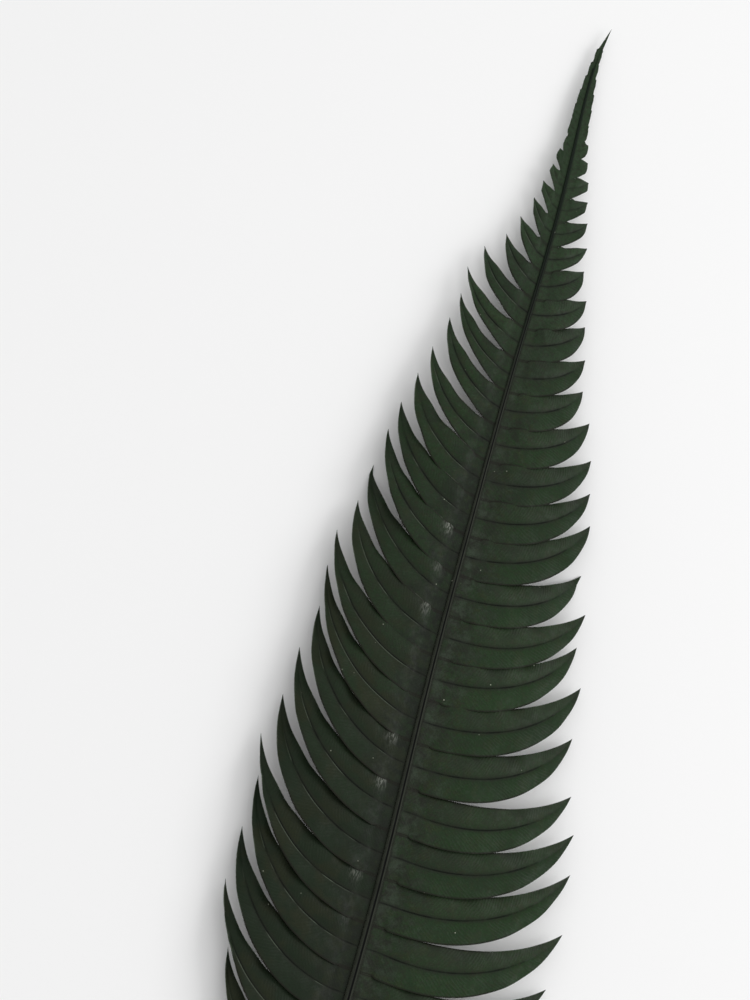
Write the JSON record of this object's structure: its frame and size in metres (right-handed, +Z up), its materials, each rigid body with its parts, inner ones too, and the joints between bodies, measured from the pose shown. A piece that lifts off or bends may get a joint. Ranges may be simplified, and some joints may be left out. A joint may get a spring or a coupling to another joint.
{
  "type": "preserved fern frond",
  "caption": "Single preserved sword-type fern frond lying flat: a dark stalk with a long tapering blade of joined, forward-curved leaflets.",
  "frame": {"origin": "centre of the frond's outline in plan, on the surface it lies on", "axes": "+Y along the stalk towards the tip, +Z up out of the blade's upper side, +X to the right of the stalk seen from above"},
  "size_m": [0.1328, 0.6, 0.0163],
  "materials": {
    "fern_green": "satin",
    "stalk_brown": "satin"
  },
  "bodies": {
    "root": {"blade": "fern_green", "stalk": "stalk_brown"}
  },
  "joints": []
}
